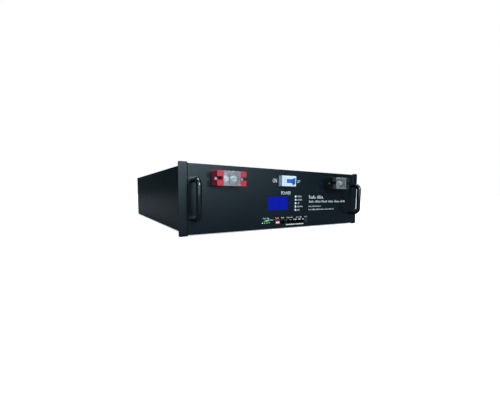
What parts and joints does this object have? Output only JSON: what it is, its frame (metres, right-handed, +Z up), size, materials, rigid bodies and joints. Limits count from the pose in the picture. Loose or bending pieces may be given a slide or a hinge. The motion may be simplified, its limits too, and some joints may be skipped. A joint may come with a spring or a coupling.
{
  "type": "rack battery",
  "caption": "Sheet-steel rack battery with bow handles, guarded stud terminals, breaker, display, menu buttons and data ports on its front panel.",
  "frame": {"origin": "centre of the four rack slots, on the rear face of the ears where the rack rails touch", "axes": "+X along the front panel to the right seen from the front, +Y into the rack towards the rear panel, +Z up"},
  "size_m": [0.4826, 0.6008, 0.1324],
  "materials": {
    "black_cable": "silicone insulation",
    "black_gloss_rod": "gloss black enamel",
    "black_moulding": "moulded, fine texture",
    "black_powder_coat": "fine-textured satin powder coat",
    "black_zinc_screw": "black-passivated steel",
    "blue_display": "lit blue display behind glass",
    "blue_toggle": "moulded blue",
    "brass_post": "turned",
    "bright_zinc_screw": "bright zinc plate",
    "cell_can": "aluminium can in blue film",
    "circuit_board": "solder mask",
    "clear_guard": "clear moulded polycarbonate",
    "copper_link": "plated copper strip",
    "dip_red": "moulded red",
    "display_carrier": "moulded",
    "end_plate_alloy": "milled",
    "insulator_sheet": "flat insulating sheet",
    "jack_shield": "tinned sheet shield",
    "lamp_green": "diffused lamp lens",
    "lamp_white": "diffused lamp lens",
    "nickel_plate": "nickel plate",
    "port_lamp_clear": "frosted light guide",
    "red_cable": "silicone insulation",
    "red_moulding": "moulded, slightly glossy",
    "ring_green": "tinted light ring",
    "slider_white": "moulded off-white",
    "white_breaker_case": "light grey-white moulding",
    "white_button": "moulded white"
  },
  "bodies": {
    "case": {"base_tray": "black_powder_coat", "board_posts": "brass_post", "breaker_body": "white_breaker_case", "breaker_screws": "black_zinc_screw", "breaker_strap": "bright_zinc_screw", "case_screws": "black_zinc_screw", "cell_bands": "bright_zinc_screw", "cell_end_plates": "end_plate_alloy", "cell_links": "copper_link", "cell_pad": "insulator_sheet", "cell_spacers": "insulator_sheet", "charge_lamps": "lamp_green", "control_boards": "circuit_board", "data_port": "black_moulding", "dip_switch_housing": "dip_red", "display_glass": "blue_display", "display_module": "display_carrier", "ear_screws": "black_zinc_screw", "front_cells": "cell_can", "front_panel": "black_powder_coat", "handle_screws": "bright_zinc_screw", "heat_sink": "end_plate_alloy", "left_handle": "black_gloss_rod", "left_rack_ear": "black_powder_coat", "management_board": "circuit_board", "negative_leads": "black_cable", "negative_terminal_base": "black_moulding", "network_jacks": "jack_shield", "port_lamps": "port_lamp_clear", "positive_leads": "red_cable", "positive_terminal_base": "red_moulding", "power_button_bezel": "black_moulding", "power_button_nut": "black_moulding", "power_button_ring": "ring_green", "power_transistors": "black_moulding", "rear_cells": "cell_can", "rear_panel": "black_powder_coat", "rear_panel_screws": "black_zinc_screw", "right_handle": "black_gloss_rod", "right_rack_ear": "black_powder_coat", "run_lamp": "lamp_white", "terminal_conductors": "nickel_plate", "terminal_nuts": "nickel_plate", "terminal_screws": "bright_zinc_screw", "terminal_studs": "nickel_plate", "terminal_washers": "nickel_plate", "top_cover": "black_powder_coat"},
    "positive_guard": {"positive_terminal_guard": "clear_guard"},
    "negative_guard": {"negative_terminal_guard": "clear_guard"},
    "toggle": {"breaker_toggle": "blue_toggle"},
    "menu_key": {"menu_button": "white_button"},
    "enter_key": {"enter_button": "white_button"},
    "up_key": {"up_button": "white_button"},
    "down_key": {"down_button": "white_button"},
    "escape_key": {"escape_button": "white_button"},
    "power_key": {"power_button": "black_moulding"},
    "dip_one": {"dip_slider_one": "slider_white"},
    "dip_two": {"dip_slider_two": "slider_white"},
    "dip_three": {"dip_slider_three": "slider_white"},
    "dip_four": {"dip_slider_four": "slider_white"}
  },
  "joints": [
    {"name": "positive_guard_hinge", "type": "hinge", "parent": "case", "child": "positive_guard", "pos_m": [-0.149, -0.0124, 0.0505], "axis": [-1, 0, 0], "range_deg": [0, 100]},
    {"name": "negative_guard_hinge", "type": "hinge", "parent": "case", "child": "negative_guard", "pos_m": [0.149, -0.0124, 0.0505], "axis": [-1, 0, 0], "range_deg": [0, 100]},
    {"name": "breaker_toggle_swing", "type": "hinge", "parent": "case", "child": "toggle", "pos_m": [-0.001, -0.0077, 0.03915], "axis": [0, 0, -1], "range_deg": [0, 84]},
    {"name": "menu_press", "type": "slide", "parent": "case", "child": "menu_key", "axis": [0, 1, 0], "range_m": [0, 0.0005], "stiffness_N_per_m": 400, "springref_m": -0.001},
    {"name": "enter_press", "type": "slide", "parent": "case", "child": "enter_key", "axis": [0, 1, 0], "range_m": [0, 0.0005], "stiffness_N_per_m": 400, "springref_m": -0.001},
    {"name": "up_press", "type": "slide", "parent": "case", "child": "up_key", "axis": [0, 1, 0], "range_m": [0, 0.0005], "stiffness_N_per_m": 400, "springref_m": -0.001},
    {"name": "down_press", "type": "slide", "parent": "case", "child": "down_key", "axis": [0, 1, 0], "range_m": [0, 0.0005], "stiffness_N_per_m": 400, "springref_m": -0.001},
    {"name": "escape_press", "type": "slide", "parent": "case", "child": "escape_key", "axis": [0, 1, 0], "range_m": [0, 0.0005], "stiffness_N_per_m": 400, "springref_m": -0.001},
    {"name": "power_press", "type": "slide", "parent": "case", "child": "power_key", "axis": [0, 1, 0], "range_m": [0, 0.0012], "stiffness_N_per_m": 400, "springref_m": -0.001},
    {"name": "dip_one_slide", "type": "slide", "parent": "case", "child": "dip_one", "axis": [0, 0, 1], "range_m": [0, 0.0024]},
    {"name": "dip_two_slide", "type": "slide", "parent": "case", "child": "dip_two", "axis": [0, 0, 1], "range_m": [0, 0.0024]},
    {"name": "dip_three_slide", "type": "slide", "parent": "case", "child": "dip_three", "axis": [0, 0, 1], "range_m": [0, 0.0024]},
    {"name": "dip_four_slide", "type": "slide", "parent": "case", "child": "dip_four", "axis": [0, 0, 1], "range_m": [0, 0.0024]}
  ]
}
